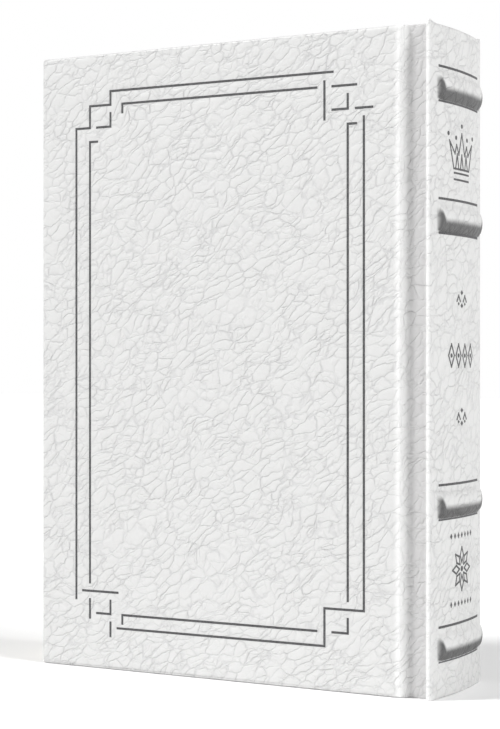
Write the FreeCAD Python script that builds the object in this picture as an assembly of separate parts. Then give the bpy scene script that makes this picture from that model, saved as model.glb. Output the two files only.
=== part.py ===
import FreeCAD, Part
import math
import os

# A hardbound prayer book, closed and standing on its tail edge.  Millimetres.
# +X points to the spine, the front cover faces -Y, +Z points to the head.
# u is the distance from the fore edge of the covers, so X = u - BOOK_WIDTH / 2.
# One half is drawn with y measured outwards, and mirrored for the front.

V = FreeCAD.Vector

# --- driving dimensions -----------------------------------------------------
COVER_HEIGHT = 152.4          # head to tail of the covers
BOOK_WIDTH = 109.4            # fore edge to the crest of the raised bands
BOOK_THICKNESS = 29.6         # outer face to outer face
HALF = BOOK_THICKNESS / 2

LEATHER = 0.7
BOARD = 2.4
TURN_IN = 0.25                # pared edge of the leather, folded inside
TURN_IN_WIDTH = 12.0
PASTEDOWN = 0.25
PAPER_MARGIN = 3.5            # pastedown edge to cover edge
SQUARE = 3.0                  # how far the covers stand past the pages

HINGE_U = 106.1               # hinge line, along the crown of the ridge
SEAM = 0.15                   # half the gap between the cover's leather and the spine's
BOARD_END = 97.9
JOINT_START = 98.4            # where the leather leaves the board for the groove

GROOVE_START, GROOVE_END = 100.7, 104.7
GROOVE_DEPTH = 2.1
RIDGE_START, RIDGE_END = 105.5, 106.8
RIDGE_ROUND = 0.2             # drop of the leather beside the ridge's crown
SPINE_CREST = 108.15          # outermost leather between the bands
SPINE_HALF_CHORD = 14.2
INLAY = 0.8
INLAY_HALF_WIDTH = 11.6
SPINE_TURN_IN = 0.4

BAND_HEIGHTS = (11.7, 43.8, 108.6, 138.5)
BAND_RISE = BOOK_WIDTH - SPINE_CREST
BAND_WIDTH = 5.8
BAND_HALF_SPAN = 11.4

FORE_EDGE_U = 3.5             # fore edge of the pages
FOLD_CREST_U = 105.0          # outermost fold of the pages
FOLD_SAG = 0.9                # rounding of the pages' back
SIGNATURES = 16
PAGES_HALF = 10.7
NECK = 0.55                   # thickness of a signature at its fold
NECK_LENGTH = 7.0
PAGE_GAP = 0.03
FLYLEAF = 0.2
FLYLEAF_Y = 10.9
FLYLEAF_END_U = 103.3

MULL_INSET = 10.0             # mull and spine paper stop this far from the page ends
STITCH_STATIONS = (14.0, 34.0, 55.0, 76.2, 97.4, 118.4, 138.4)
RULE = 0.55                   # width of a stamped line
STAMP_DEPTH = 0.15
FOIL = 0.08

# --- derived values ----------------------------------------------------------
PITCH = 2 * PAGES_HALF / SIGNATURES
PAGE_TOP = COVER_HEIGHT - SQUARE
SAG = SPINE_CREST - RIDGE_END
SPINE_R = (SPINE_HALF_CHORD ** 2 + SAG ** 2) / (2 * SAG)
SPINE_CENTRE_U = SPINE_CREST - SPINE_R
FOLD_R = (PAGES_HALF ** 2 + FOLD_SAG ** 2) / (2 * FOLD_SAG)
FOLD_CENTRE_U = FOLD_CREST_U - FOLD_R
BOARD_OUT = HALF - LEATHER
BOARD_IN = BOARD_OUT - BOARD
TURN_IN_IN = BOARD_IN - TURN_IN


def at(u):
    return u - BOOK_WIDTH / 2


def export(node, shape):
    if not shape.isValid():
        raise ValueError(node + " is not a valid shape")
    shape.exportStep("parts/" + node + ".step")


def slab(u0, u1, y0, y1, z0, z1):
    return Part.makeBox(u1 - u0, y1 - y0, z1 - z0, V(at(u0), y0, z0))


def to_front(shape):
    return shape.mirror(V(0, 0, 0), V(0, 1, 0))


def prism(points, z0, z1):
    ring = [V(at(u), y, z0) for u, y in points]
    return Part.Face(Part.makePolygon(ring + ring[:1])).extrude(V(0, 0, z1 - z0))


def ring_sector(profile, centre_u, half_span, radius):
    """Turn a closed (radius, z) profile about a vertical axis, over y = +-half_span."""
    half_angle = math.degrees(math.asin(half_span / radius))
    points = [V(at(centre_u) + r, 0, z) for r, z in profile]
    face = Part.Face(Part.makePolygon(points + points[:1]))
    axis = V(at(centre_u), 0, 0)
    face.rotate(axis, V(0, 0, 1), -half_angle)
    return face.revolve(axis, V(0, 0, 1), 2 * half_angle)


def spine_shell(r0, r1, z0, z1, half_span=INLAY_HALF_WIDTH):
    profile = [(r0, z0), (r1, z0), (r1, z1), (r0, z1)]
    return ring_sector(profile, SPINE_CENTRE_U, half_span, SPINE_R)


def fold_shell(gap, thickness, z0, z1, half_span=PAGES_HALF):
    r0 = FOLD_R + gap
    r1 = r0 + thickness
    profile = [(r0, z0), (r1, z0), (r1, z1), (r0, z1)]
    return ring_sector(profile, FOLD_CENTRE_U, half_span, FOLD_R)


# --- stamped ornament ---------------------------------------------------------
# Frame lines by their distance from the fore edge (u) and the tail (z).
FORE_OUT, FORE_IN, FORE_SQ = 10.5, 14.6, 20.7
JOINT_OUT, JOINT_IN, JOINT_SQ = 90.1, 86.0, 80.0
HEAD_OUT, HEAD_IN, HEAD_SQ = 142.95, 139.6, 134.2
TAIL_OUT, TAIL_IN, TAIL_SQ = 10.35, 13.7, 19.1
REACH = 2.1                   # a line passes, or stops short of, a crossing line by this
STANDOFF = 3.5                # inner rules start this far from a corner square


def frame_strokes():
    """The lines of the cover's double frame, with an interlaced square in each corner."""
    return [
        # outer rule: head and fore edge, then joint side and tail
        [(JOINT_SQ + REACH, HEAD_OUT), (FORE_SQ, HEAD_OUT), (FORE_SQ, HEAD_IN),
         (FORE_IN, HEAD_IN), (FORE_IN, HEAD_SQ), (FORE_OUT, HEAD_SQ),
         (FORE_OUT, TAIL_SQ - REACH)],
        [(JOINT_OUT, HEAD_SQ - REACH), (JOINT_OUT, TAIL_SQ), (JOINT_SQ, TAIL_SQ),
         (JOINT_SQ, TAIL_OUT), (FORE_SQ + REACH, TAIL_OUT)],
        # inner rules, each turned in at its free end
        [(FORE_SQ + STANDOFF, HEAD_IN - REACH), (FORE_SQ + STANDOFF, HEAD_IN),
         (JOINT_SQ - REACH, HEAD_IN)],
        [(FORE_IN + REACH, HEAD_SQ - STANDOFF), (FORE_IN, HEAD_SQ - STANDOFF),
         (FORE_IN, TAIL_SQ + REACH)],
        [(JOINT_IN + REACH, HEAD_SQ - STANDOFF), (JOINT_IN, HEAD_SQ - STANDOFF),
         (JOINT_IN, TAIL_SQ + REACH)],
        [(FORE_SQ + STANDOFF, TAIL_IN - REACH), (FORE_SQ + STANDOFF, TAIL_IN),
         (JOINT_SQ - REACH, TAIL_IN)],
        # the closing corner of each square
        [(FORE_SQ, HEAD_IN - REACH), (FORE_SQ, HEAD_SQ), (FORE_IN + REACH, HEAD_SQ)],
        [(JOINT_IN, HEAD_IN - REACH), (JOINT_IN, HEAD_SQ), (JOINT_SQ + REACH, HEAD_SQ)],
        [(FORE_SQ, TAIL_SQ - REACH), (FORE_SQ, TAIL_IN), (FORE_IN + REACH, TAIL_IN)],
        [(JOINT_IN, TAIL_SQ - REACH), (JOINT_IN, TAIL_IN), (JOINT_SQ + REACH, TAIL_IN)],
        # lines that pass over at the head of the joint side
        [(JOINT_SQ, HEAD_OUT - REACH), (JOINT_SQ, HEAD_SQ - REACH)],
        [(JOINT_SQ + REACH, HEAD_IN), (JOINT_IN + REACH, HEAD_IN)],
        [(JOINT_IN + REACH, HEAD_SQ), (JOINT_OUT + REACH, HEAD_SQ)],
        # lines that pass over at the tail of the fore edge
        [(FORE_IN - REACH, TAIL_SQ), (FORE_SQ + REACH, TAIL_SQ)],
        [(FORE_IN, TAIL_SQ - REACH), (FORE_IN, TAIL_OUT + REACH)],
        [(FORE_SQ, TAIL_IN - REACH), (FORE_SQ, TAIL_OUT - REACH)],
    ]


def frame_bars(y0, y1):
    bars = []
    w = RULE / 2
    for stroke in frame_strokes():
        for (ua, za), (ub, zb) in zip(stroke, stroke[1:]):
            bars.append(slab(min(ua, ub) - w, max(ua, ub) + w, y0, y1,
                             min(za, zb) - w, max(za, zb) + w))
    return bars[0].multiFuse(bars[1:]).removeSplitter()


SPINE_RULES = [z + d for z in BAND_HEIGHTS for d in (-BAND_WIDTH / 2 - 0.5, BAND_WIDTH / 2 + 1.5)]
CROWN_Z = 117.6
TITLE_Z = 77.5
LOZENGES_Z = (63.4, 90.5)
TAIL_ORNAMENT_Z = 28.4
FINE = 0.45                   # width of a line in an ornament
FINE_BEND = 0.6 * FINE        # radius of its rounding at a bend
BEAD = 0.5                    # radius of a dot
CROWN_BASE = 8.8
CROWN_BAND = 2.7              # foot of the crown to its points
CROWN_POINTS = [(0, 11.0), (1.7, 6.0), (2.9, 8.2), (3.8, 6.1), (6.5, 8.9)]
CROWN_BEADS = [(0, 12.7), (3.2, 9.8), (7.0, 10.5)]
LANCET, LANCET_PITCH, LANCET_HEIGHT = 1.7, 2.6, 3.4
TITLE_COUNT, TITLE_PITCH, TITLE_HEIGHT = 4, 3.7, 5.2
ROSETTE = 5.0                 # reach of a petal
DOT_ROW, DOT_PITCH = 7.8, 1.9


def spine_bar(y0, y1, z0, z1):
    return slab(SPINE_CREST - 4, BOOK_WIDTH, y0, y1, z0, z1)


def spine_prism(points):
    """A closed (y, z) outline, run through the spine along X."""
    ring = [V(at(SPINE_CREST - 4), y, z) for y, z in points]
    return Part.Face(Part.makePolygon(ring + ring[:1])).extrude(V(4 + BAND_RISE, 0, 0))


def spine_disc(y, z, r):
    return Part.makeCylinder(r, 4 + BAND_RISE, V(at(SPINE_CREST - 4), y, z), V(1, 0, 0))


def lozenge(y, z, half_width, half_height):
    return spine_prism([(y - half_width, z), (y, z - half_height),
                        (y + half_width, z), (y, z + half_height)])


def spine_stroke(points):
    """A fine stamped line through (y, z) points, a little wider at its bends."""
    parts = [spine_disc(y, z, FINE_BEND) for y, z in points]
    for (y0, z0), (y1, z1) in zip(points, points[1:]):
        length = math.hypot(y1 - y0, z1 - z0)
        dy, dz = FINE / 2 * (z0 - z1) / length, FINE / 2 * (y1 - y0) / length
        parts.append(spine_prism([(y0 + dy, z0 + dz), (y0 - dy, z0 - dz),
                                  (y1 - dy, z1 - dz), (y1 + dy, z1 + dz)]))
    return parts


def both_sides(points):
    """Mirror an outline that starts on the middle line."""
    return [(-y, z) for y, z in reversed(points[1:])] + points


def crown():
    """A five-pointed crown drawn in line, with a bead over each point."""
    half, top = CROWN_BASE / 2, CROWN_Z + CROWN_BAND
    parts = [spine_bar(-half, half, z - FINE / 2, z + FINE / 2)
             for z in (CROWN_Z + FINE / 2, top - 2.2 * FINE)]
    for y, z in CROWN_BEADS:
        parts += [spine_disc(side * y, CROWN_Z + z, BEAD) for side in (-1, 1) if y or side > 0]
    outline = both_sides([(y, CROWN_Z + z) for y, z in CROWN_POINTS])
    parts += spine_stroke([(-half, top)] + outline + [(half, top), (-half, top)])
    for y in (-LANCET_PITCH, 0, LANCET_PITCH):
        parts += spine_stroke([(y - LANCET / 2, top), (y, top + LANCET_HEIGHT),
                               (y + LANCET / 2, top)])
    return parts


def small_ornament(z):
    """A lozenge above and below, between two chevrons."""
    parts = [lozenge(0, z + side * 1.5, 0.75, 0.6) for side in (-1, 1)]
    for side in (-1, 1):
        parts += spine_stroke([(side * 0.9, z - 0.5), (side * 1.8, z + 0.8), (side * 2.7, z - 0.5)])
        parts.append(lozenge(side * 1.8, z - 1.1, 0.5, 0.4))
    return parts


def title_ornament():
    """A row of open lozenges with a dot in each, where a title would stand."""
    parts = []
    for i in range(TITLE_COUNT):
        y = (i - (TITLE_COUNT - 1) / 2) * TITLE_PITCH
        w, h = TITLE_PITCH / 2 - 0.45, TITLE_HEIGHT / 2
        parts += spine_stroke([(y - w, TITLE_Z), (y, TITLE_Z + h), (y + w, TITLE_Z),
                               (y, TITLE_Z - h), (y - w, TITLE_Z)])
        parts.append(spine_disc(y, TITLE_Z, BEAD))
    return parts


def tail_ornament():
    """An eight-petalled rosette drawn in line, with a row of dots above and below."""
    parts = [spine_disc(0, TAIL_ORNAMENT_Z, 1.3 * BEAD)]
    petal = [(1.4, 0), (3.1, 0.95), (ROSETTE, 0), (3.1, -0.95), (1.4, 0)]
    for i in range(8):
        a = math.radians(45 * i)
        ca, sa = math.cos(a), math.sin(a)
        parts += spine_stroke([(r * ca - t * sa, TAIL_ORNAMENT_Z + r * sa + t * ca)
                               for r, t in petal])
    for side in (-1, 1):
        parts += [lozenge(DOT_PITCH * i, TAIL_ORNAMENT_Z + side * DOT_ROW, 0.5, 0.7)
                  for i in range(-3, 4)]
    return parts


def spine_ornaments():
    w = RULE / 2
    shapes = [spine_bar(-BAND_HALF_SPAN, BAND_HALF_SPAN, z - w, z + w) for z in SPINE_RULES]
    shapes += crown() + title_ornament() + tail_ornament()
    for z in LOZENGES_Z:
        shapes += small_ornament(z)
    return shapes


# --- covers: drawn for the back, mirrored for the front ------------------------
def joint_leather():
    """The leather from the board's edge, down into the groove and up the ridge."""
    floor = HALF - GROOVE_DEPTH
    end = HINGE_U - SEAM
    outer = [(JOINT_START, HALF), (GROOVE_START, floor), (GROOVE_END, floor),
             (RIDGE_START, HALF - RIDGE_ROUND), (end, HALF)]
    inner = [(end, HALF - LEATHER - RIDGE_ROUND), (GROOVE_END + 0.6 * LEATHER, floor - LEATHER),
             (GROOVE_START - 0.4 * LEATHER, floor - LEATHER),
             (JOINT_START, HALF - LEATHER * math.sqrt(2))]
    return prism(outer + inner, 0, COVER_HEIGHT)


def cover_leather():
    outer = slab(0, JOINT_START, TURN_IN_IN, HALF, 0, COVER_HEIGHT)
    far = HINGE_U
    pocket = slab(LEATHER, far, BOARD_IN, BOARD_OUT, LEATHER, COVER_HEIGHT - LEATHER)
    window = slab(TURN_IN_WIDTH, far, TURN_IN_IN - 1, BOARD_IN + 0.1,
                  TURN_IN_WIDTH, COVER_HEIGHT - TURN_IN_WIDTH)
    grooves = frame_bars(HALF - STAMP_DEPTH, HALF + 1)
    return outer.cut(pocket).cut(window).cut(grooves).fuse(joint_leather())


def cover_stamping():
    return frame_bars(HALF - STAMP_DEPTH, HALF - STAMP_DEPTH + FOIL)


def cover_board():
    return slab(LEATHER, BOARD_END, BOARD_IN, BOARD_OUT, LEATHER, COVER_HEIGHT - LEATHER)


def cover_pastedown():
    """A sheet on the board that climbs onto the turn-ins, and crosses the joint."""
    w = TURN_IN_WIDTH
    top = COVER_HEIGHT
    lift = PASTEDOWN
    sheet = slab(w, BOARD_END, BOARD_IN - lift, BOARD_IN, w, top - w)
    margin = slab(PAPER_MARGIN, BOARD_END - PAPER_MARGIN, TURN_IN_IN - lift, TURN_IN_IN,
                  PAPER_MARGIN, top - PAPER_MARGIN)
    opening = slab(w + lift, BOARD_END, TURN_IN_IN - 1, TURN_IN_IN + 0.1,
                   w + lift, top - w - lift)
    floor = HALF - GROOVE_DEPTH - LEATHER
    step = slab(BOARD_END, BOARD_END + lift, BOARD_IN - lift, floor, w, top - w)
    joint = slab(BOARD_END, GROOVE_END, floor - lift, floor, w, top - w)
    return sheet.fuse([margin.cut(opening), step, joint]).removeSplitter()


def flyleaf():
    edge = FORE_EDGE_U + FOLD_SAG
    return slab(edge, FLYLEAF_END_U, FLYLEAF_Y - FLYLEAF / 2, FLYLEAF_Y + FLYLEAF / 2,
                SQUARE, PAGE_TOP)


# --- spine ---------------------------------------------------------------------
def spine_wall():
    """The leather of the spine, from ridge to ridge, as a strip of even section."""
    start = HINGE_U + SEAM
    inner_r = SPINE_R - LEATHER
    inner_y = math.sqrt(inner_r ** 2 - (start - SPINE_CENTRE_U) ** 2)
    half = [V(at(start), HALF - RIDGE_ROUND / 2, 0), V(at(RIDGE_END), SPINE_HALF_CHORD, 0)]
    other = [V(p.x, -p.y, 0) for p in reversed(half)]
    inner = [V(at(start), -inner_y, 0), V(at(start), inner_y, 0)]
    edges = Part.makePolygon(half).Edges
    edges.append(Part.Arc(half[-1], V(at(SPINE_CREST), 0, 0), other[0]).toShape())
    edges += Part.makePolygon(other + inner[:1]).Edges
    edges.append(Part.Arc(inner[0], V(at(SPINE_CENTRE_U + inner_r), 0, 0), inner[1]).toShape())
    edges += Part.makePolygon([inner[1], half[0]]).Edges
    return Part.Face(Part.Wire(edges)).extrude(V(0, 0, COVER_HEIGHT))


def band_profile(width, r0, r1, z):
    """A low rounded hump, as a closed (radius, z) outline."""
    w = width / 2
    rise = r1 - SPINE_R
    steps = 6
    hump = [(SPINE_R + rise * math.cos(math.pi / 2 * i / steps),
             z + w * math.sin(math.pi / 2 * i / steps)) for i in range(-steps, steps + 1)]
    return [(r0, z - w)] + hump + [(r0, z + w)]


def raised_band(z):
    profile = band_profile(BAND_WIDTH - 1.4, SPINE_R - LEATHER, SPINE_R + BAND_RISE - 0.5, z)
    return ring_sector(profile, SPINE_CENTRE_U, BAND_HALF_SPAN - 0.5, SPINE_R)


def spine_leather(stamps):
    wall = spine_wall()
    for z in BAND_HEIGHTS:
        profile = band_profile(BAND_WIDTH, SPINE_R - LEATHER / 2, SPINE_R + BAND_RISE, z)
        wall = wall.fuse(ring_sector(profile, SPINE_CENTRE_U, BAND_HALF_SPAN, SPINE_R))
    for z in BAND_HEIGHTS:
        wall = wall.cut(raised_band(z))
    inner = SPINE_R - LEATHER - INLAY
    for z0, z1 in ((0, TURN_IN_WIDTH), (COVER_HEIGHT - TURN_IN_WIDTH, COVER_HEIGHT)):
        wall = wall.fuse(spine_shell(inner - SPINE_TURN_IN, inner, z0, z1))
    for z0 in (0, COVER_HEIGHT - LEATHER):
        cap = spine_shell(inner - SPINE_TURN_IN, SPINE_R - LEATHER / 2, z0, z0 + LEATHER)
        wall = wall.fuse(cap)
    skin = spine_shell(SPINE_R - STAMP_DEPTH, SPINE_R + BAND_RISE, 1, COVER_HEIGHT - 1)
    return wall.cut([stamp.common(skin) for stamp in stamps])


def spine_stamping(stamps):
    film = spine_shell(SPINE_R - STAMP_DEPTH, SPINE_R - STAMP_DEPTH + FOIL, 1, COVER_HEIGHT - 1)
    pieces = []
    for stamp in stamps:
        pieces += stamp.common(film).Solids
    return pieces[0].multiFuse(pieces[1:]).removeSplitter()


def spine_inlay():
    return spine_shell(SPINE_R - LEATHER - INLAY, SPINE_R - LEATHER,
                       LEATHER, COVER_HEIGHT - LEATHER)


# --- pages and their back ---------------------------------------------------------
def signature(index):
    """A folded section: even leaves, thinning over a short neck to a rounded fold."""
    y = (index - (SIGNATURES - 1) / 2) * PITCH
    t = (PITCH - PAGE_GAP) / 2
    n = NECK / 2
    fold = FOLD_CENTRE_U + math.sqrt(FOLD_R ** 2 - y ** 2)
    pivot = fold - n
    fore = FORE_EDGE_U + FOLD_SAG - (FOLD_CREST_U - fold)
    skew = t * y / FOLD_R
    outline = [V(at(fore + skew), y - t, SQUARE), V(at(pivot - NECK_LENGTH), y - t, SQUARE),
               V(at(pivot), y - n, SQUARE)]
    far = [V(at(pivot), y + n, SQUARE), V(at(pivot - NECK_LENGTH), y + t, SQUARE),
           V(at(fore - skew), y + t, SQUARE)]
    edges = Part.makePolygon(outline).Edges
    edges.append(Part.Arc(outline[-1], V(at(fold), y, SQUARE), far[0]).toShape())
    edges += Part.makePolygon(far + outline[:1]).Edges
    return Part.Face(Part.Wire(edges)).extrude(V(0, 0, PAGE_TOP - SQUARE))


def sewing_thread():
    """Short stitches that run across the folds, one row at each sewing station."""
    half_width = 0.3
    rows = [fold_shell(0.1, 0.3, z - half_width, z + half_width) for z in STITCH_STATIONS]
    return Part.makeCompound(rows)


def mull_lining():
    """Gauze glued over the stitches, with a flange up to each ridge."""
    z0, z1 = SQUARE + MULL_INSET, PAGE_TOP - MULL_INSET
    back = fold_shell(0.45, 0.3, z0, z1, PAGES_HALF + 0.5)
    shoulder_u = FOLD_CENTRE_U + math.sqrt(FOLD_R ** 2 - PAGES_HALF ** 2)
    ridge_u = HINGE_U - SEAM
    flange = prism([(shoulder_u + 0.4, PAGES_HALF + 0.4), (ridge_u - 0.62, PAGES_HALF + 1.3),
                    (ridge_u - 0.05, PAGES_HALF + 2.6), (ridge_u + 0.25, PAGES_HALF + 2.6),
                    (ridge_u - 0.3, PAGES_HALF + 1.2), (shoulder_u + 0.75, PAGES_HALF + 0.2)],
                   z0, z1)
    return back.fuse([flange, to_front(flange)]).removeSplitter()


def spine_paper():
    return fold_shell(0.75, 0.3, SQUARE + MULL_INSET, PAGE_TOP - MULL_INSET)


def endband(z_end, inward):
    """A woven bead across the end of the pages, with its tape on the folds."""
    bead_r = 0.65
    centre_r = FOLD_R - 0.4
    centre_z = z_end - inward * (bead_r + 0.1)
    axis = V(at(FOLD_CENTRE_U), 0, 0)
    half_angle = math.degrees(math.asin((PAGES_HALF - 0.2) / FOLD_R))
    circle = Part.makeCircle(bead_r, V(axis.x + centre_r, 0, centre_z), V(0, 1, 0))
    face = Part.Face(Part.Wire(circle))
    face.rotate(axis, V(0, 0, 1), -half_angle)
    bead = face.revolve(axis, V(0, 0, 1), 2 * half_angle)
    z0, z1 = sorted((centre_z, z_end + inward * 7))
    tape = fold_shell(0.1, 0.3, z0, z1, PAGES_HALF - 0.2)
    return bead.fuse(tape)


def build():
    os.makedirs("parts", exist_ok=True)
    halves = {"board": cover_board(), "cover_leather": cover_leather(),
              "cover_stamping": cover_stamping(), "pastedown": cover_pastedown(),
              "flyleaf": flyleaf()}
    for name, shape in halves.items():
        export("back_" + name, shape)
        export("front_" + name, to_front(shape))
    stamps = spine_ornaments()
    export("spine_leather", spine_leather(stamps))
    export("spine_stamping", spine_stamping(stamps))
    export("spine_inlay", spine_inlay())
    for i, z in enumerate(BAND_HEIGHTS):
        export("raised_band_%d" % (i + 1), raised_band(z))
    for i in range(SIGNATURES):
        export("signature_%02d" % (i + 1), signature(i))
    export("sewing_thread", sewing_thread())
    export("mull_lining", mull_lining())
    export("spine_paper", spine_paper())
    export("tailband", endband(SQUARE, 1))
    export("headband", endband(PAGE_TOP, -1))


build()
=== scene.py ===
import math

import bmesh
import bpy
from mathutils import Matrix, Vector
from mathutils.bvhtree import BVHTree


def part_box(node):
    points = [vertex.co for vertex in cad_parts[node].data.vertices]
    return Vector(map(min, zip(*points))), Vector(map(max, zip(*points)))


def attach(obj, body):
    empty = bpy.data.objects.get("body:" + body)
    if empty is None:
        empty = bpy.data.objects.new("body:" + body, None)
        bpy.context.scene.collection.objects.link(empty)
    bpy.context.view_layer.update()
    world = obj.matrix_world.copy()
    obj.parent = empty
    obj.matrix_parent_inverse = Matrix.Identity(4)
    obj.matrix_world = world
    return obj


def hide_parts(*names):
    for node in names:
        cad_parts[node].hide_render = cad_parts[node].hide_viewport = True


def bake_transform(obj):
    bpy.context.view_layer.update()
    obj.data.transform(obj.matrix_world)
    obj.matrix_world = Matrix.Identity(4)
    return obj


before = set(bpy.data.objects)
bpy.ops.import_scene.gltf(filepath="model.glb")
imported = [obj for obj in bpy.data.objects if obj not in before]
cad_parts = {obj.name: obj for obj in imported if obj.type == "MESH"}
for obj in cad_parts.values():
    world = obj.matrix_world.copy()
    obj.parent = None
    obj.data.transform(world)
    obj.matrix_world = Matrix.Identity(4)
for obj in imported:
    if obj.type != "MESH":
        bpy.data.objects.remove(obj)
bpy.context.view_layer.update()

bl_info = {
    "name": "Prayer book",
    "version": (1, 0, 0),
    "blender": (4, 5, 0),
    "location": "3D View > Sidebar > Prayer book",
    "description": "Binds a small hardbound prayer book in white grained leather",
    "category": "Object",
}

MM = 0.001
SIDES = ("front", "back")
SIGNATURES = sorted(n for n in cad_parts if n.startswith("signature_"))
BANDS = sorted(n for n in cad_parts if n.startswith("raised_band_"))

LEAVES = 16                    # leaves shown in one section of pages
SEAM_HALF = 13.2 * MM          # middle of the spine to its seam with a cover's leather
SPINE_BULGE = 1.35 * MM        # rise of the spine's arc over its width
SPINE_LINED = 1.9 * MM         # leather, inlay and turn-in of the spine together
FOIL_SUNK = 0.07 * MM          # face of the leather above the foil in it
BAND_SKIRT = 0.7 * MM          # leather that slopes down on each side of a band


# --- settings -------------------------------------------------------------------
class LeatherSettings(bpy.types.PropertyGroup):
    """Sizes and colours of the leather."""
    colour: bpy.props.FloatVectorProperty(
        name="Leather", description="Colour on top of the grain",
        subtype="COLOR", size=4, min=0, max=1, default=(0.675, 0.675, 0.67, 1))
    # Painted shade: the grain is darker down in its creases, where shade falls.
    crease: bpy.props.FloatVectorProperty(
        name="Crease", description="Colour down in the creases of the grain",
        subtype="COLOR", size=4, min=0, max=1, default=(0.60, 0.60, 0.60, 1))
    # Painted highlight: a lighter colour on the board's edge and the ridge beside the groove, where
    # the light catches them.
    painted_highlight: bpy.props.FloatVectorProperty(
        name="Polish", description="Colour where hands have rubbed the joint's edges",
        subtype="COLOR", size=4, min=0, max=1, default=(0.84, 0.84, 0.835, 1))
    # Painted shade: a darker colour on the floor of the groove beside the spine, where shade falls.
    painted_groove_shade: bpy.props.FloatVectorProperty(
        name="Joint tone", description="Colour rubbed into the grooves beside the spine",
        subtype="COLOR", size=4, min=0, max=1, default=(0.57, 0.565, 0.565, 1))
    # Painted shade: a near-black colour on the lower flank of each raised band, where shade falls
    # under it.
    painted_band_shade: bpy.props.FloatVectorProperty(
        name="Burnish", description="Colour rubbed in under the raised bands",
        subtype="COLOR", size=4, min=0, max=1, default=(0.10, 0.10, 0.10, 1))
    relief: bpy.props.FloatProperty(
        name="Relief", description="Depth of the grain", subtype="DISTANCE",
        unit="LENGTH", default=0.09 * MM, min=0)
    thickness: bpy.props.FloatProperty(
        name="Thickness", description="Thickness of the leather", subtype="DISTANCE",
        unit="LENGTH", default=0.7 * MM, min=0.1 * MM)
    edge_radius: bpy.props.FloatProperty(
        name="Edge radius", description="Rounding where the leather turns over a board",
        subtype="DISTANCE", unit="LENGTH", default=0.8 * MM, min=0.1 * MM)
    turn_in: bpy.props.FloatProperty(
        name="Turn-in", description="Width of the leather folded inside a board",
        subtype="DISTANCE", unit="LENGTH", default=12 * MM, min=2 * MM)
    pitch: bpy.props.FloatProperty(
        name="Mesh pitch", description="Spacing of the mesh that carries the grain",
        subtype="DISTANCE", unit="LENGTH", default=0.5 * MM, min=0.2 * MM)
    press: bpy.props.FloatProperty(
        name="Press", description="How deep the stamped lines are pressed in",
        subtype="DISTANCE", unit="LENGTH", default=0.11 * MM, min=0)


class JointSettings(bpy.types.PropertyGroup):
    """Shape of the groove and ridge beside the spine."""
    groove_depth: bpy.props.FloatProperty(
        name="Groove depth", description="How far the joint's groove lies below the cover",
        subtype="DISTANCE", unit="LENGTH", default=2.1 * MM, min=0)
    slope: bpy.props.FloatProperty(
        name="Board slope", description="Width of the slope from the board into the groove",
        subtype="DISTANCE", unit="LENGTH", default=2.0 * MM, min=0.5 * MM)
    wall: bpy.props.FloatProperty(
        name="Ridge wall", description="Width of the slope from the groove up to the ridge",
        subtype="DISTANCE", unit="LENGTH", default=1.5 * MM, min=0.3 * MM)
    ridge_radius: bpy.props.FloatProperty(
        name="Ridge radius", description="Rounding of the ridge beside the spine",
        subtype="DISTANCE", unit="LENGTH", default=0.75 * MM, min=0.2 * MM)
    doubled: bpy.props.FloatProperty(
        name="Doubled leather", description="Leather and turn-in together in the joint",
        subtype="DISTANCE", unit="LENGTH", default=0.95 * MM, min=0.3 * MM)
    ridge_thickness: bpy.props.FloatProperty(
        name="Ridge thickness", description="Leather and turn-in together at the ridge",
        subtype="DISTANCE", unit="LENGTH", default=0.65 * MM, min=0.2 * MM)
    nib: bpy.props.FloatProperty(
        name="Nib", description="How far the leather stands up at the head of a ridge",
        subtype="DISTANCE", unit="LENGTH", default=0.6 * MM, min=0)
    steps: bpy.props.IntProperty(
        name="Steps", description="Rows of faces across the joint", default=26, min=8)


class StageSettings(bpy.types.PropertyGroup):
    """Camera and light."""
    azimuth: bpy.props.FloatProperty(
        name="Azimuth", description="Turn of the camera towards the spine",
        subtype="ANGLE", unit="ROTATION", default=math.radians(29.35))
    lens: bpy.props.FloatProperty(
        name="Lens", description="Focal length in millimetres", default=89.7, min=10)
    reach: bpy.props.FloatVectorProperty(
        name="Camera place", description="Camera place from the fore edge of the front cover",
        subtype="XYZ", unit="LENGTH", size=3, default=(270.8 * MM, -374.3 * MM, 76.2 * MM))
    rise: bpy.props.FloatProperty(
        name="Shift", description="Vertical shift of the view", default=-0.0045)
    floor: bpy.props.FloatVectorProperty(
        name="Floor", description="Colour of the floor",
        subtype="COLOR", size=4, min=0, max=1, default=(0.97, 0.97, 0.97, 1))
    horizon: bpy.props.FloatProperty(
        name="Horizon", description="Brightness of the air low down", default=1.0, min=0)
    zenith: bpy.props.FloatProperty(
        name="Zenith", description="Brightness of the air overhead", default=0.22, min=0)
    key: bpy.props.FloatProperty(
        name="Key light", description="Strength of the main light", default=2.2, min=0)
    side: bpy.props.FloatProperty(
        name="Side light", description="Strength of the light on the spine", default=1.6, min=0)


class BookSettings(bpy.types.PropertyGroup):
    """All settings of the book."""
    leather: bpy.props.PointerProperty(type=LeatherSettings)
    joint: bpy.props.PointerProperty(type=JointSettings)
    stage: bpy.props.PointerProperty(type=StageSettings)


# --- selecting and shaping ---------------------------------------------------------
def only(obj):
    bpy.ops.object.select_all(action="DESELECT")
    obj.select_set(True)
    bpy.context.view_layer.objects.active = obj


def start_edit(obj):
    only(obj)
    bpy.ops.object.mode_set(mode="EDIT")


def end_edit():
    bpy.ops.object.mode_set(mode="OBJECT")


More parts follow.
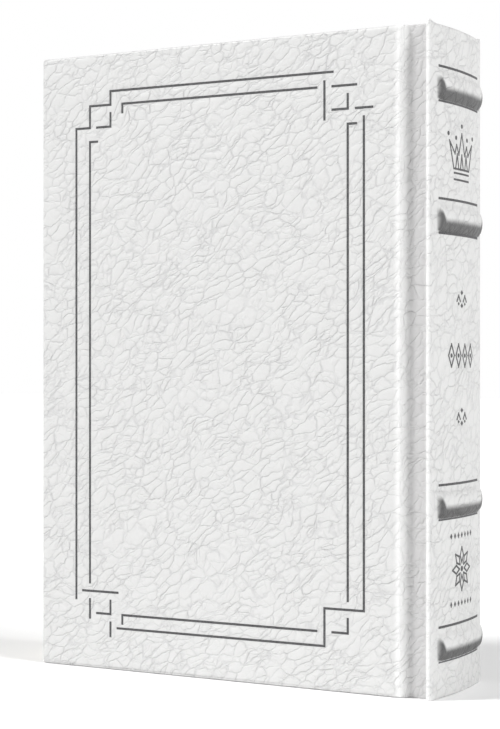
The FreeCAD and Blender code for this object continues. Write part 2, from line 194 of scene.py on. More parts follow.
def pick(kind, test):
    """Select the vertices, edges or faces that pass a test, in edit mode."""
    bpy.ops.mesh.select_mode(type=kind)
    bpy.ops.mesh.select_all(action="DESELECT")
    mesh = bpy.context.active_object.data
    shape = bmesh.from_edit_mesh(mesh)
    shape.faces.index_update()
    items = {"VERT": shape.verts, "EDGE": shape.edges, "FACE": shape.faces}[kind]
    for item in items:
        if test(item):
            item.select_set(True)
    shape.select_flush_mode()
    bmesh.update_edit_mesh(mesh)


def near(a, b, gap=0.01 * MM):
    return abs(a - b) < gap


def add_box(name, low, high):
    bpy.ops.object.select_all(action="DESELECT")
    low, high = Vector(low), Vector(high)
    bpy.ops.mesh.primitive_cube_add(size=1, location=(low + high) / 2, scale=high - low)
    obj = bpy.context.active_object
    obj.name = name
    obj.data.name = name
    bpy.ops.object.transform_apply(location=True, rotation=False, scale=True)
    return obj


def apply_modifier(obj, kind, **values):
    only(obj)
    modifier = obj.modifiers.new(kind.lower(), kind)
    for key, value in values.items():
        setattr(modifier, key, value)
    bpy.ops.object.modifier_apply(modifier=modifier.name)


def copy_of(obj, name):
    only(obj)
    bpy.ops.object.duplicate(linked=False)
    twin = bpy.context.active_object
    twin.name = name
    twin.data.name = name
    return twin


def flip_to_back(obj):
    """Turn a piece made for the front into the one for the back."""
    start_edit(obj)
    bpy.ops.mesh.select_all(action="SELECT")
    bpy.ops.transform.resize(value=(1, -1, 1), center_override=(0, 0, 0))
    bpy.ops.mesh.flip_normals()
    end_edit()


def smooth(obj, degrees=40):
    only(obj)
    bpy.ops.object.shade_smooth_by_angle(angle=math.radians(degrees))


def ease(t):
    t = min(max(t, 0), 1)
    return t * t * (3 - 2 * t)


# --- shader and relief nodes ---------------------------------------------------------
class Nodes:
    """A short way to write a node tree: values and sockets go in, a socket comes out."""

    def __init__(self, tree):
        self.tree = tree

    def add(self, kind, inputs=(), output=0, **values):
        node = self.tree.nodes.new(kind)
        for key, value in values.items():
            setattr(node, key, value)
        for key, value in dict(inputs).items():
            if isinstance(value, bpy.types.NodeSocket):
                self.tree.links.new(value, node.inputs[key])
            else:
                node.inputs[key].default_value = value
        return node.outputs[output]

    def math(self, operation, a, b=0.0, clamp=False):
        return self.add("ShaderNodeMath", {0: a, 1: b}, operation=operation, use_clamp=clamp)

    def vector(self, operation, a, b):
        return self.add("ShaderNodeVectorMath", {0: a, 1: b}, operation=operation)

    def step(self, value, low, high, to_low=0.0, to_high=1.0):
        return self.add("ShaderNodeMapRange", {0: value, 1: low, 2: high, 3: to_low, 4: to_high},
                        interpolation_type="SMOOTHSTEP")

    def mix(self, factor, a, b):
        node = self.tree.nodes.new("ShaderNodeMix")
        node.data_type = "RGBA"
        for socket, value in zip((node.inputs[0], node.inputs[6], node.inputs[7]), (factor, a, b)):
            if isinstance(value, bpy.types.NodeSocket):
                self.tree.links.new(value, socket)
            else:
                socket.default_value = value
        return node.outputs[2]

    def noise(self, vector, scale, detail=2.0, roughness=0.5, output=0):
        return self.add("ShaderNodeTexNoise", {"Vector": vector, "Scale": scale, "Detail": detail,
                                               "Roughness": roughness}, output=output)


def grain_height(nodes, place):
    """Pebbled grain at a place in metres: 1 on top of a pebble, 0 in a crease.

    The pebbles are long ovals that lean up to the right, round the spine as on the covers.
    """
    parts = nodes.add("ShaderNodeSeparateXYZ", {0: place})
    x, y, z = parts, parts.node.outputs[1], parts.node.outputs[2]
    spread = nodes.add("ShaderNodeCombineXYZ", {0: nodes.math("ADD", x, y),
                                                1: nodes.math("MULTIPLY", y, 0.5), 2: z})
    sway = nodes.noise(spread, 75.0, detail=1.0, output=1)
    waver = nodes.noise(spread, 420.0, detail=2.0, output=1)
    for drift, amount in ((sway, 0.0065), (waver, 0.0017)):
        drift = nodes.vector("SUBTRACT", drift, (0.5, 0.5, 0.5))
        spread = nodes.vector("ADD", spread, nodes.vector("MULTIPLY", drift, (amount,) * 3))
    turned = nodes.add("ShaderNodeVectorRotate", {"Vector": spread, "Angle": math.radians(31)},
                       rotation_type="Y_AXIS")
    edge = []
    for scale in ((205.0, 300.0, 440.0), (450.0, 460.0, 600.0)):
        edge.append(nodes.add("ShaderNodeTexVoronoi", {
            "Vector": nodes.vector("MULTIPLY", turned, scale), "Scale": 1.0},
            feature="DISTANCE_TO_EDGE"))
    crease = nodes.step(edge[0], -0.02, 0.10)
    dome = nodes.step(edge[0], -0.2, 0.42)
    fold = nodes.step(edge[1], -0.03, 0.13)
    swell = nodes.step(edge[1], -0.2, 0.45)
    keep = nodes.step(nodes.noise(spread, 140.0, detail=1.0), 0.34, 0.62, 0.45, 1.0)
    share = nodes.step(nodes.noise(spread, 230.0, detail=1.0), 0.36, 0.64, 0.15, 0.95)
    height = 1.0
    for part, weight, gain in ((crease, keep, 0.42), (dome, 1.0, 0.30),
                               (fold, share, 0.26), (swell, share, 0.16)):
        drop = nodes.math("MULTIPLY", nodes.math("SUBTRACT", 1.0, part), gain)
        height = nodes.math("SUBTRACT", height, nodes.math("MULTIPLY", drop, weight))
    return height


def grain_modifier(obj, depth):
    """Move the outer surface along its normals by the grain and by its lift."""
    tree = bpy.data.node_groups.get("leather relief")
    if tree is None:
        tree = bpy.data.node_groups.new("leather relief", "GeometryNodeTree")
        tree.interface.new_socket("Geometry", in_out="INPUT", socket_type="NodeSocketGeometry")
        tree.interface.new_socket("Geometry", in_out="OUTPUT", socket_type="NodeSocketGeometry")
        nodes = Nodes(tree)
        shape = nodes.add("NodeGroupInput")
        place = nodes.add("GeometryNodeInputPosition")
        height = nodes.math("SUBTRACT", grain_height(nodes, place), 1.0)
        cover = nodes.add("GeometryNodeInputNamedAttribute", {"Name": "cover"}, data_type="FLOAT")
        lift = nodes.add("GeometryNodeInputNamedAttribute", {"Name": "lift"}, data_type="FLOAT")
        grain = nodes.math("MULTIPLY", nodes.math("MULTIPLY", height, depth), cover)
        normal = nodes.add("GeometryNodeInputNormal")
        move = nodes.add("ShaderNodeVectorMath", {0: normal, "Scale": nodes.math("ADD", grain, lift)},
                         operation="SCALE")
        done = nodes.add("GeometryNodeSetPosition", {"Geometry": shape, "Offset": move})
        out = tree.nodes.new("NodeGroupOutput")
        tree.links.new(done, out.inputs[0])
    apply_modifier(obj, "NODES", node_group=tree)


def new_material(name, roughness):
    material = bpy.data.materials.new(name)
    material.use_nodes = True
    surface = material.node_tree.nodes["Principled BSDF"]
    surface.inputs["Roughness"].default_value = roughness
    place = material.node_tree.nodes.new("ShaderNodeTexCoord").outputs["Object"]
    return material, Nodes(material.node_tree), surface, place


def set_bump(nodes, surface, height, strength, distance):
    bump = nodes.add("ShaderNodeBump", {"Height": height, "Strength": strength,
                                        "Distance": distance})
    nodes.tree.links.new(bump, surface.inputs["Normal"])


def leather_material():
    """White leather: grain relief, pores, painted shade in the grain's creases, in the joints and
    under the bands, and a painted highlight on the joint's edges.
    """
    p = bpy.context.scene.prayer_book.leather
    material, nodes, surface, place = new_material("grained leather", 0.42)
    height = grain_height(nodes, place)
    pores = nodes.noise(place, 3600.0, detail=3.0)
    scuffs = nodes.noise(nodes.vector("MULTIPLY", place, (1.0, 1.0, 0.4)), 1500.0, detail=3.0)
    # Painted shade in the grain's creases: the lower the grain, the more of the crease colour.
    tone = nodes.step(height, 0.30, 0.85)
    shade = nodes.mix(tone, tuple(p.crease), tuple(p.colour))
    mottle = nodes.step(nodes.noise(place, 60.0, detail=4.0), 0.3, 0.7)
    worn = nodes.mix(nodes.math("MULTIPLY", mottle, 0.06), shade, (0.66, 0.655, 0.64, 1))
    # Painted highlight on the board's edge and the ridge beside the groove.
    rubbed = nodes.mix(painted_edge_highlight_mask(nodes, place), worn, tuple(p.painted_highlight))
    # Painted shade on the floor of the groove beside the spine.
    joint = nodes.mix(painted_groove_shade_mask(nodes, place), rubbed, tuple(p.painted_groove_shade))
    # Painted shade on the lower flank of each raised band.
    dark = nodes.mix(painted_band_shade_mask(nodes, place), joint, tuple(p.painted_band_shade))
    nodes.tree.links.new(dark, surface.inputs["Base Color"])
    gloss = nodes.step(height, 0.2, 1.0, 0.58, 0.42)
    nodes.tree.links.new(nodes.math("ADD", gloss, nodes.math("MULTIPLY", pores, 0.08)),
                         surface.inputs["Roughness"])
    fine = nodes.math("ADD", nodes.math("MULTIPLY", pores, 0.05),
                      nodes.math("MULTIPLY", scuffs, 0.26))
    set_bump(nodes, surface, nodes.math("ADD", height, fine), 1.0, p.relief * 3.2)
    return material


def painted_edge_highlight_mask(nodes, place):
    """Mask of the painted highlight: 1 on the ridge and on the board's edge beside the groove."""
    x = nodes.add("ShaderNodeSeparateXYZ", {0: place})
    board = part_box("front_board")[1].x + 1.3 * MM
    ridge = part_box("spine_leather")[0].x + 0.5 * MM
    both = 0.0
    for middle, reach in ((board, 2.0 * MM), (ridge, 1.0 * MM)):
        gap = nodes.math("ABSOLUTE", nodes.math("SUBTRACT", x, middle))
        both = nodes.math("ADD", nodes.step(gap, 0.1 * MM, reach, 1.0, 0.0), both)
    return both


def painted_groove_shade_mask(nodes, place):
    """Mask of the painted shade in the groove: 1 on the floor of the groove beside the spine, 0 on
    the boards and the ridge.
    """
    parts = nodes.add("ShaderNodeSeparateXYZ", {0: place})
    q = bpy.context.scene.prayer_book.joint
    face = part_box("back_cover_leather")[1].y
    sunk = nodes.math("SUBTRACT", face, nodes.math("ABSOLUTE", parts.node.outputs[1]))
    deep = nodes.step(sunk, 0.55 * q.groove_depth, q.groove_depth)
    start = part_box("front_board")[1].x
    along = nodes.step(parts, start + 1.0 * MM, start + 4.2 * MM)
    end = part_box("spine_inlay")[0].x
    before = nodes.step(parts, end - 1.2 * MM, end - 0.4 * MM, 1.0, 0.0)
    return nodes.math("MULTIPLY", nodes.math("MULTIPLY", deep, along), before)


def painted_band_shade_mask(nodes, place):
    """Mask of the painted shade under the bands: 1 along the lower flank of each raised band, fading
    out towards its top and its ends.
    """
    parts = nodes.add("ShaderNodeSeparateXYZ", {0: place})
    y, z = parts.node.outputs[1], parts.node.outputs[2]
    across = nodes.math("ABSOLUTE", y)
    total = 0.0
    for name in BANDS:
        low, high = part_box(name)
        foot = low.z - 0.75 * MM
        above = nodes.step(z, foot - 0.35 * MM, foot - 0.2 * MM)
        top = nodes.math("ADD", nodes.step(across, high.y - 1.0 * MM, high.y + 0.9 * MM,
                                           0.0, 2.2 * MM), foot + 1.5 * MM)
        rise = nodes.math("DIVIDE", nodes.math("SUBTRACT", z, top), 1.7 * MM)
        below = nodes.step(rise, 0.0, 1.0, 1.0, 0.0)
        total = nodes.math("ADD", nodes.math("MULTIPLY", above, below), total)
    ends = nodes.step(across, high.y + 0.7 * MM, high.y + 1.9 * MM, 1.0, 0.0)
    outer = nodes.step(parts, low.x + 0.4 * MM, low.x + 0.8 * MM)
    return nodes.math("MULTIPLY", nodes.math("MULTIPLY", total, ends), outer)


def foil_material():
    material, nodes, surface, place = new_material("stamped foil", 0.55)
    speckle = nodes.step(nodes.noise(place, 2600.0, detail=3.0), 0.30, 0.75)
    tone = nodes.mix(speckle, (0.045, 0.045, 0.048, 1), (0.11, 0.11, 0.112, 1))
    nodes.tree.links.new(tone, surface.inputs["Base Color"])
    set_bump(nodes, surface, nodes.noise(place, 1800.0), 0.3, 0.00003)
    return material


def paper_material(name, colour, shade, fibre=900.0):
    material, nodes, surface, place = new_material(name, 0.85)
    cloud = nodes.noise(place, 120.0, detail=5.0)
    fibres = nodes.noise(nodes.vector("MULTIPLY", place, (1.0, 1.0, 0.35)), fibre, detail=4.0)
    tone = nodes.mix(nodes.math("MULTIPLY", cloud, 0.6), colour, shade)
    nodes.tree.links.new(tone, surface.inputs["Base Color"])
    set_bump(nodes, surface, fibres, 0.25, 0.00003)
    return material


def page_material():
    """Uncoated book paper, a little darker towards its trimmed edges."""
    material, nodes, surface, place = new_material("book paper", 0.88)
    low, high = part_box("signature_08")
    x = nodes.add("ShaderNodeSeparateXYZ", {0: place})
    z = x.node.outputs[2]
    margin = 4 * MM
    fore = nodes.step(x, low.x, low.x + margin, 1.0, 0.0)
    tail = nodes.step(z, low.z, low.z + margin, 1.0, 0.0)
    head = nodes.step(z, high.z - margin, high.z, 0.0, 1.0)
    rim = nodes.math("MAXIMUM", fore, nodes.math("MAXIMUM", tail, head))
    cloud = nodes.noise(place, 150.0, detail=5.0)
    amount = nodes.math("MULTIPLY", nodes.math("ADD", rim, cloud), 0.35)
    tone = nodes.mix(amount, (0.86, 0.83, 0.75, 1), (0.74, 0.68, 0.56, 1))
    nodes.tree.links.new(tone, surface.inputs["Base Color"])
    set_bump(nodes, surface, nodes.noise(place, 1400.0, detail=4.0), 0.2, 0.00002)
    return material


def board_material():
    material, nodes, surface, place = new_material("binder's board", 0.9)
    flecks = nodes.noise(place, 700.0, detail=6.0, roughness=0.7)
    tone = nodes.mix(nodes.step(flecks, 0.35, 0.65), (0.21, 0.19, 0.16, 1), (0.34, 0.31, 0.27, 1))
    nodes.tree.links.new(tone, surface.inputs["Base Color"])
    set_bump(nodes, surface, flecks, 0.5, 0.0001)
    return material


def woven_material(name, colour, shade, threads):
    """Plain weave: two sets of threads per metre, crossing over the surface."""
    material, nodes, surface, place = new_material(name, 0.85)
    across = nodes.add("ShaderNodeTexWave", {"Vector": place, "Scale": threads},
                       bands_direction="Y", output=1)
    along = nodes.add("ShaderNodeTexWave", {"Vector": place, "Scale": threads},
                      bands_direction="Z", output=1)
    weave = nodes.math("MAXIMUM", across, along)
    tone = nodes.mix(weave, shade, colour)
    nodes.tree.links.new(tone, surface.inputs["Base Color"])
    surface.inputs["Sheen Weight"].default_value = 0.3
    set_bump(nodes, surface, weave, 0.6, 0.0001)
    return material


def clothe(obj, material):
    obj.data.materials.clear()
    obj.data.materials.append(material)


# --- leather -------------------------------------------------------------------------
def joint_section(p, joint_x, crown_x, face, board_depth):
    """Steps (x, outer y, inner y) of the leather from the board's edge to the ridge's crown."""
    rows = []
    slope_start = joint_x + 0.5 * MM
    wall_start = crown_x - 0.15 * MM - p.wall
    for i in range(1, p.steps + 1):
        x = joint_x + (crown_x - joint_x) * i / p.steps
        down = ease((x - slope_start) / p.slope)
        up = ease((x - wall_start) / p.wall)
        outer = face + p.groove_depth * (down - up)
        thick = board_depth + (p.doubled - board_depth) * ease((x - joint_x) / (1.8 * MM))
        thick += (p.ridge_thickness - p.doubled) * up
        rows.append((x, outer, outer + thick))
    return rows


def wrap_cover(obj, fore, tail, head):
    """Open the box towards the joint, cut its window, and round its turned edges."""
    p = bpy.context.scene.prayer_book.leather
    start_edit(obj)
    pick("FACE", lambda f: f.normal.x > 0.9)
    bpy.ops.mesh.delete(type="FACE")
    window = (fore + p.turn_in, tail + p.turn_in, head - p.turn_in)
    cuts = (((window[0], 0, 0), (1, 0, 0)), ((0, 0, window[1]), (0, 0, 1)),
            ((0, 0, window[2]), (0, 0, 1)))
    for place, normal in cuts:
        pick("FACE", lambda f: f.normal.y > 0.9)
        bpy.ops.mesh.bisect(plane_co=place, plane_no=normal)

    def in_window(f):
        c = f.calc_center_median()
        return f.normal.y > 0.9 and c.x > window[0] and window[1] < c.z < window[2]

    pick("FACE", in_window)
    bpy.ops.mesh.delete(type="FACE")
    pick("EDGE", lambda e: len(e.link_faces) == 2 and e.calc_face_angle() > 1)
    bpy.ops.mesh.bevel(offset=p.edge_radius, segments=4, profile=0.5, affect="EDGES")
    end_edit()


def extrude_joint(obj, joint_x, face, inner, section):
    """Carry the open end of the wrapped cover through the groove and up the ridge."""
    start_edit(obj)
    pick("EDGE", lambda e: all(near(v.co.x, joint_x) for v in e.verts))
    x, outer = joint_x, face
    for nx, nouter, ninner in section:
        bpy.ops.mesh.extrude_region_move(TRANSFORM_OT_translate={"value": (nx - x, 0, 0)})
        scale = (ninner - nouter) / (inner - outer)
        bpy.ops.transform.resize(value=(1, scale, 1), center_override=(nx, outer, 0))
        bpy.ops.transform.translate(value=(0, nouter - outer, 0))
        x, outer, inner = nx, nouter, ninner


def spin_spine(p, centre, radius, crown, seam_angle, ridge_angle, lining, steps):
    """Round the ridge, cross the spine's arc, and stop at the far seam.

    Returns how many faces there are up to the near seam.
    """
    turn = (0, 0, -1)
    bpy.ops.mesh.spin(steps=6, angle=math.pi / 2 - ridge_angle, axis=turn,
                      center=(crown.x, crown.y + p.ridge_radius, 0))
    bpy.ops.mesh.spin(steps=2, angle=ridge_angle - seam_angle, axis=turn, center=centre)
    near_faces = len(bmesh.from_edit_mesh(bpy.context.active_object.data).faces)
    step = 2 * seam_angle / steps
    thickness_change = {2: lining, steps - 4: 1 / lining}
    for i in range(steps):
        bpy.ops.mesh.spin(steps=1, angle=step, axis=turn, center=centre)
        if i in thickness_change:
            angle = -seam_angle + step * (i + 1)
            edge = centre + Vector((math.cos(angle), math.sin(angle), 0)) * radius
            bpy.ops.transform.resize(value=(thickness_change[i], 1, 1), center_override=edge)
    return near_faces


def spine_arc():
    """Centre and radius of the spine's arc, from the height of its leather over its width."""
    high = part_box("spine_leather")[1]
    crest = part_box("spine_stamping")[1].x + FOIL_SUNK
    half = high.y - 0.5 * MM
    radius = (half * half + SPINE_BULGE * SPINE_BULGE) / (2 * SPINE_BULGE)
    return Vector((crest - radius, 0, 0)), radius


def case_leather():
    """Front cover's leather with its joint, and the spine's, each as an open skin."""
    book = bpy.context.scene.prayer_book
    p, q = book.leather, book.joint
    skin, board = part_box("front_cover_leather"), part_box("front_board")
    fore, face, tail = skin[0]
    inner, head = skin[1].y, skin[1].z
    joint_x = board[1].x + 0.5 * MM
    centre, radius = spine_arc()
    ridge_angle = math.asin((-face - q.ridge_radius) / (radius - q.ridge_radius))
    crown_x = centre.x + (radius - q.ridge_radius) * math.cos(ridge_angle)
    obj = add_box("front_leather", (fore, face, tail), (joint_x, inner, head))
    pared = obj.vertex_groups.new(name="pared")
    pared.add([v.index for v in obj.data.vertices if near(v.co.y, inner)], 1.0, "REPLACE")
    wrap_cover(obj, fore, tail, head)
    section = joint_section(q, joint_x, crown_x, face, inner - face)
    extrude_joint(obj, joint_x, face, inner, section)
    seam_angle = math.asin(SEAM_HALF / radius)
    lining = SPINE_LINED / q.ridge_thickness
    steps = round(2 * SEAM_HALF / (0.75 * p.pitch))
    near_faces = spin_spine(q, centre, radius, Vector((crown_x, face, 0)), seam_angle,
                            ridge_angle, lining, steps)
    pick("FACE", lambda f: f.index >= near_faces)
    bpy.ops.mesh.separate(type="SELECTED")
    end_edit()
    spine = [o for o in bpy.context.selected_objects if o != obj][0]
    spine.name = "spine_skin"
    spine.data.name = "spine_skin"
    for skin in (obj, spine):
        start_edit(skin)
        bpy.ops.mesh.select_all(action="SELECT")
        bpy.ops.mesh.remove_doubles(threshold=0.002 * MM)
        bpy.ops.mesh.normals_make_consistent(inside=False)
        if skin == obj:
            pick("VERT", lambda v: near(v.co.x, crown_x, 0.3 * MM) and near(v.co.z, head)
                 and v.co.y < face + 0.5 * MM)
            bpy.ops.transform.translate(
                value=(0, 0, q.nib), use_proportional_edit=True,
                proportional_edit_falloff="SMOOTH", proportional_size=1.5 * MM)
        end_edit()
    return obj, spine


def thicken(obj):
    """Give the skin its thickness inwards, thinner where the turned edge is pared."""
    p = bpy.context.scene.prayer_book.leather
    inner = obj.vertex_groups.new(name="inner")
    apply_modifier(obj, "SOLIDIFY", thickness=p.thickness, offset=-1, vertex_group="pared",
                   invert_vertex_group=True, thickness_vertex_group=0.35,
                   shell_vertex_group=inner.name, rim_vertex_group=inner.name)


def divide(test, parts):
    """Cut the picked edges, and the faces between them, into equal parts."""
    groups = math.ceil(parts / 90)
    pick("EDGE", test)
    bpy.ops.mesh.subdivide(number_cuts=groups - 1)
    pick("EDGE", test)
    bpy.ops.mesh.subdivide(number_cuts=round(parts / groups) - 1)


def refine(obj, flat=None):
    """Close rows over the leather's height, and columns over the flat of a cover."""
    p = bpy.context.scene.prayer_book.leather
    low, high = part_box("front_cover_leather")
    start_edit(obj)
    divide(lambda e: abs(e.verts[0].co.z - e.verts[1].co.z) > 30 * MM,
           round((high.z - low.z) / p.pitch))
    if flat is not None:
        divide(lambda e: abs(e.verts[0].co.x - e.verts[1].co.x) > 20 * MM
               and all(near(v.co.y, flat) for v in e.verts),
               round((high.x - low.x) / p.pitch))
    end_edit()


def foil_tree(name):
    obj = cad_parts[name]
    return BVHTree.FromPolygons([v.co for v in obj.data.vertices],
                                [tuple(f.vertices) for f in obj.data.polygons])


def band_lift():
    """A measure of how far the bands lift the spine's leather at a place."""
    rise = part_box("spine_leather")[1].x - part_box("spine_stamping")[1].x - FOIL_SUNK
    bands = []
    for name in BANDS:
        low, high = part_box(name)
        bands.append(((low.z + high.z) / 2, (high.z - low.z) / 2 + BAND_SKIRT, high.y + 1.8 * MM))

    def lift(place):
        most = 0.0
        for middle, half, span in bands:
            t = abs(place.z - middle) / half
            if t < 1.05:
                crown = math.sqrt(1 - min(t, 0.97) ** 2) * min(1, (1.05 - t) / 0.08)
                fade = 1 - ease((abs(place.y) - span + 1.6 * MM) / (1.6 * MM))
                most = max(most, rise * crown * fade)
        return most

    return lift


def emboss(obj, foil_name, lift_of=None):
    """Store how the grain covers the leather, and how far bands and stamps move it."""
    p = bpy.context.scene.prayer_book.leather
    mesh = obj.data
    tree = foil_tree(foil_name)
    inner = obj.vertex_groups["inner"].index
    cover = mesh.attributes.new("cover", "FLOAT", "POINT")
    lift = mesh.attributes.new("lift", "FLOAT", "POINT")
    reach, rest = 0.8 * MM, 0.3 * MM
    for v in mesh.vertices:
        hidden = max([g.weight for g in v.groups if g.group == inner], default=0.0)
        amount = 1.0 - hidden
        rise = lift_of(v.co) * amount if lift_of else 0.0
        if amount > 0.5:
            _, _, _, gap = tree.find_nearest(v.co, reach + 0.2 * MM)
            if gap is not None:
                pressed = 1 - ease((gap - rest) / (reach - rest))
                rise -= p.press * pressed
                amount *= 1 - pressed
        cover.data[v.index].value = amount
        lift.data[v.index].value = rise
    grain_modifier(obj, p.relief)
    for name in ("cover", "lift"):
        mesh = obj.data
        mesh.attributes.remove(mesh.attributes[name])
    obj.vertex_groups.clear()


class BOOK_OT_leather(bpy.types.Operator):
    """Cover the boards and the spine in one case of grained leather"""
    bl_idname = "prayer_book.leather"
    bl_label = "Leather case"

    def execute(self, context):
        material = leather_material()
        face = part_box("front_cover_leather")[0].y
        front, spine = case_leather()
        back = copy_of(front, "back_leather")
        flip_to_back(back)
        for side, obj, outer in (("front", front, face), ("back", back, -face)):
            thicken(obj)
            refine(obj, outer)
            emboss(obj, side + "_cover_stamping")
            smooth(obj)
            clothe(obj, material)
            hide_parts(side + "_cover_leather")
            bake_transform(obj)
        thicken(spine)
        refine(spine)
        emboss(spine, "spine_stamping", band_lift())
        smooth(spine)
        clothe(spine, material)
        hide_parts("spine_leather")
        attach(spine, "spine")
        return {"FINISHED"}


class BOOK_OT_foil(bpy.types.Operator):
    """Give the stamped lines and ornaments their dark foil"""
    bl_idname = "prayer_book.foil"
    bl_label = "Stamped foil"

    def execute(self, context):
        material = foil_material()
        for name in ("front_cover_stamping", "back_cover_stamping", "spine_stamping"):
            clothe(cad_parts[name], material)
        return {"FINISHED"}


class BOOK_OT_stiffeners(bpy.types.Operator):
    """Finish the boards, the spine's inlay and the cores of the bands"""
    bl_idname = "prayer_book.stiffeners"
    bl_label = "Boards, inlay and band cores"

    def execute(self, context):
        material = board_material()
        for name in ("front_board", "back_board", "spine_inlay"):
            clothe(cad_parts[name], material)
        for name in BANDS:
            clothe(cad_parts[name], material)
        return {"FINISHED"}


class BOOK_OT_linings(bpy.types.Operator):
    """Finish the gauze, paper and thread on the back of the pages"""
    bl_idname = "prayer_book.linings"
    bl_label = "Mull, spine paper and thread"

    def execute(self, context):
        gauze = woven_material("gauze", (0.80, 0.78, 0.70, 1), (0.48, 0.45, 0.38, 1), 330.0)
        kraft = paper_material("kraft paper", (0.42, 0.30, 0.17, 1), (0.33, 0.23, 0.12, 1))
        thread = woven_material("linen thread", (0.86, 0.84, 0.78, 1), (0.6, 0.57, 0.5, 1), 900.0)
        clothe(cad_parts["mull_lining"], gauze)
        clothe(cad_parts["spine_paper"], kraft)
        clothe(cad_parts["sewing_thread"], thread)
        return {"FINISHED"}


class BOOK_OT_endpapers(bpy.types.Operator):
    """Finish the pastedowns and flyleaves"""
    bl_idname = "prayer_book.endpapers"
    bl_label = "Endpapers"

    def execute(self, context):
        material = paper_material("endpaper", (0.88, 0.87, 0.84, 1), (0.80, 0.785, 0.74, 1))
        for side in SIDES:
            for name in ("_pastedown", "_flyleaf"):
                clothe(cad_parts[side + name], material)
        return {"FINISHED"}


def build_signature(name):
    """Sixteen leaves that lie on each other, and close up towards their fold."""
    low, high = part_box(name)
    middle = (low.y + high.y) / 2
    leaf = (high.y - low.y) / LEAVES
    obj = add_box(name + "_leaves", low, (high.x, low.y + leaf * 0.86, high.z))
    neck = [(7.4, 1.0), (5.0, 0.82), (2.5, 0.62), (0.7, 0.46), (0.0, 0.30)]
    start_edit(obj)
    for back, _ in neck[:-1]:
        bpy.ops.mesh.select_all(action="SELECT")
        bpy.ops.mesh.bisect(plane_co=(high.x - back * MM, 0, 0), plane_no=(1, 0, 0))
    end_edit()
    apply_modifier(obj, "ARRAY", count=LEAVES, use_relative_offset=False,
                   use_constant_offset=True, constant_offset_displace=(0, leaf, 0))
    start_edit(obj)
    for back, share in neck[1:]:
        x = high.x - back * MM
        pick("VERT", lambda v: near(v.co.x, x))
        bpy.ops.transform.resize(value=(1, share, 1), center_override=(x, middle, 0))
    end_edit()
    return obj


class BOOK_OT_pages(bpy.types.Operator):
    """Fold the sections of thin leaves that make the page block"""
    bl_idname = "prayer_book.pages"
    bl_label = "Pages"

    def execute(self, context):
        material = page_material()
        for name in SIGNATURES:
            obj = build_signature(name)
            clothe(obj, material)
            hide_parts(name)
            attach(obj, name)
        return {"FINISHED"}


def endband_wraps(name, material_light, material_dark):
    """Threads wound round the bead that crosses the end of the pages."""
    low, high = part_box(name)
    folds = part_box("signature_08")[1].x
    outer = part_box("signature_01")[1].x
    half = -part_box("signature_01")[0].y
    sag = folds - outer
    radius = (half * half + sag * sag) / (2 * sag)
    centre_x = folds - radius
    bead = 0.65 * MM
    at_head = low.z > 0.1
    z = high.z - bead if at_head else low.z + bead
    count = 62
    tilt = 0.12
    thread = 0.14 * MM
    span = math.asin((high.y - 0.1 * MM) / radius)
    rings = []
    for i in range(count):
        angle = -span + 2 * span * (i + 0.5) / count
        r = radius - 0.4 * MM
        place = (centre_x + r * math.cos(angle), r * math.sin(angle), z)
        bpy.ops.object.select_all(action="DESELECT")
        bpy.ops.mesh.primitive_torus_add(
            location=place, rotation=(math.pi / 2, tilt, angle), major_segments=12,
            minor_segments=6, major_radius=bead - 0.03 * MM, minor_radius=thread)
        ring = bpy.context.active_object
        bpy.ops.object.transform_apply(location=True, rotation=True, scale=True)
        ring.data.materials.append(material_dark if i // 3 % 2 else material_light)
        rings.append(ring)
    bpy.ops.object.select_all(action="DESELECT")
    for ring in rings:
        ring.select_set(True)
    bpy.context.view_layer.objects.active = rings[0]
    bpy.ops.object.join()
    obj = bpy.context.active_object
    obj.name = name + "_wraps"
    obj.data.name = obj.name
    smooth(obj, 60)
    return obj


class BOOK_OT_endbands(bpy.types.Operator):
    """Wind the silk of the headband and tailband"""
    bl_idname = "prayer_book.endbands"
    bl_label = "Headband and tailband"

    def execute(self, context):
        tape = woven_material("endband tape", (0.86, 0.85, 0.82, 1), (0.62, 0.61, 0.58, 1), 700.0)
        light = woven_material("white silk", (0.88, 0.88, 0.86, 1), (0.7, 0.7, 0.68, 1), 2400.0)
        dark = woven_material("grey silk", (0.52, 0.53, 0.55, 1), (0.36, 0.37, 0.39, 1), 2400.0)
        for name in ("headband", "tailband"):
            clothe(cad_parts[name], tape)
            wraps = endband_wraps(name, light, dark)
            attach(wraps, "spine")
        return {"FINISHED"}


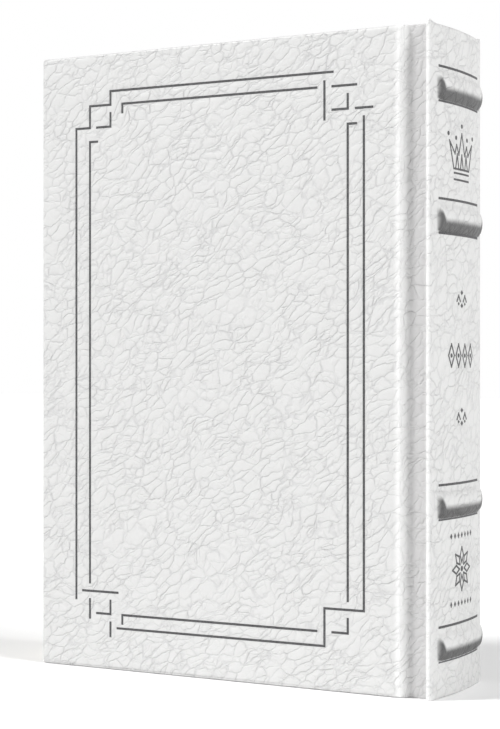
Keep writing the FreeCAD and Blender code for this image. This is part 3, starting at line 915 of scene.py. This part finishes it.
# --- stage ---------------------------------------------------------------------------
class BOOK_OT_stage(bpy.types.Operator):
    """Lay the pale floor, and set the lights and the camera"""
    bl_idname = "prayer_book.stage"
    bl_label = "Stage"

    def execute(self, context):
        p = context.scene.prayer_book.stage
        low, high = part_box("front_cover_leather")
        bpy.ops.object.select_all(action="DESELECT")
        bpy.ops.mesh.primitive_plane_add(size=6, location=(0, 0, low.z))
        floor = context.active_object
        floor.name = "floor"
        material, nodes, surface, place = new_material("pale floor", 0.9)
        haze = nodes.mix(nodes.noise(place, 3.0), tuple(p.floor), (0.95, 0.95, 0.95, 1))
        nodes.tree.links.new(haze, surface.inputs["Base Color"])
        floor.data.materials.append(material)

        world = bpy.data.worlds.new("studio")
        context.scene.world = world
        world.use_nodes = True
        nodes = Nodes(world.node_tree)
        up = nodes.add("ShaderNodeTexCoord")
        height = nodes.add("ShaderNodeSeparateXYZ", {0: up}, output=2)
        strength = nodes.step(height, 0.22, 0.55, p.horizon, p.zenith)
        sky = world.node_tree.nodes["Background"]
        sky.inputs["Color"].default_value = (1, 1, 1, 1)
        world.node_tree.links.new(strength, sky.inputs["Strength"])
        context.scene.view_settings.view_transform = "Standard"

        suns = (("key", (-0.58, -0.44, 0.69), p.key, 12),
                ("side", (0.70, -0.06, 0.70), p.side, 20))
        for name, aim, strength, softness in suns:
            bpy.ops.object.select_all(action="DESELECT")
            bpy.ops.object.light_add(type="SUN", location=aim)
            lamp = context.active_object
            lamp.name = name
            lamp.data.energy = strength
            lamp.data.angle = math.radians(softness)
            lamp.rotation_euler = Vector(aim).to_track_quat("Z", "Y").to_euler()

        place = Vector((low.x, low.y, low.z)) + Vector(p.reach)
        bpy.ops.object.camera_add(location=place, rotation=(math.pi / 2, 0, p.azimuth))
        camera = context.active_object
        camera.name = "camera"
        camera.data.lens = p.lens
        camera.data.shift_y = p.rise
        camera.data.clip_start = 0.01
        context.scene.camera = camera
        return {"FINISHED"}


class BOOK_PT_panel(bpy.types.Panel):
    """Steps of binding the book"""
    bl_label = "Prayer book"
    bl_idname = "BOOK_PT_panel"
    bl_space_type = "VIEW_3D"
    bl_region_type = "UI"
    bl_category = "Prayer book"

    def draw(self, context):
        for step in STEPS:
            self.layout.operator(step.bl_idname)
        settings = context.scene.prayer_book
        for group in (settings.leather, settings.joint, settings.stage):
            for key in group.bl_rna.properties.keys():
                if key not in ("rna_type", "name"):
                    self.layout.prop(group, key)


STEPS = (BOOK_OT_stage, BOOK_OT_leather, BOOK_OT_foil, BOOK_OT_stiffeners, BOOK_OT_linings,
         BOOK_OT_endpapers, BOOK_OT_pages, BOOK_OT_endbands)
CLASSES = (LeatherSettings, JointSettings, StageSettings, BookSettings) + STEPS + (BOOK_PT_panel,)


def register():
    for cls in CLASSES:
        bpy.utils.register_class(cls)
    bpy.types.Scene.prayer_book = bpy.props.PointerProperty(type=BookSettings)


def unregister():
    del bpy.types.Scene.prayer_book
    for cls in reversed(CLASSES):
        bpy.utils.unregister_class(cls)


def main():
    register()
    bpy.ops.prayer_book.stage()
    bpy.ops.prayer_book.leather()
    bpy.ops.prayer_book.foil()
    bpy.ops.prayer_book.stiffeners()
    bpy.ops.prayer_book.linings()
    bpy.ops.prayer_book.endpapers()
    bpy.ops.prayer_book.pages()
    bpy.ops.prayer_book.endbands()


if __name__ == "__main__":
    main()
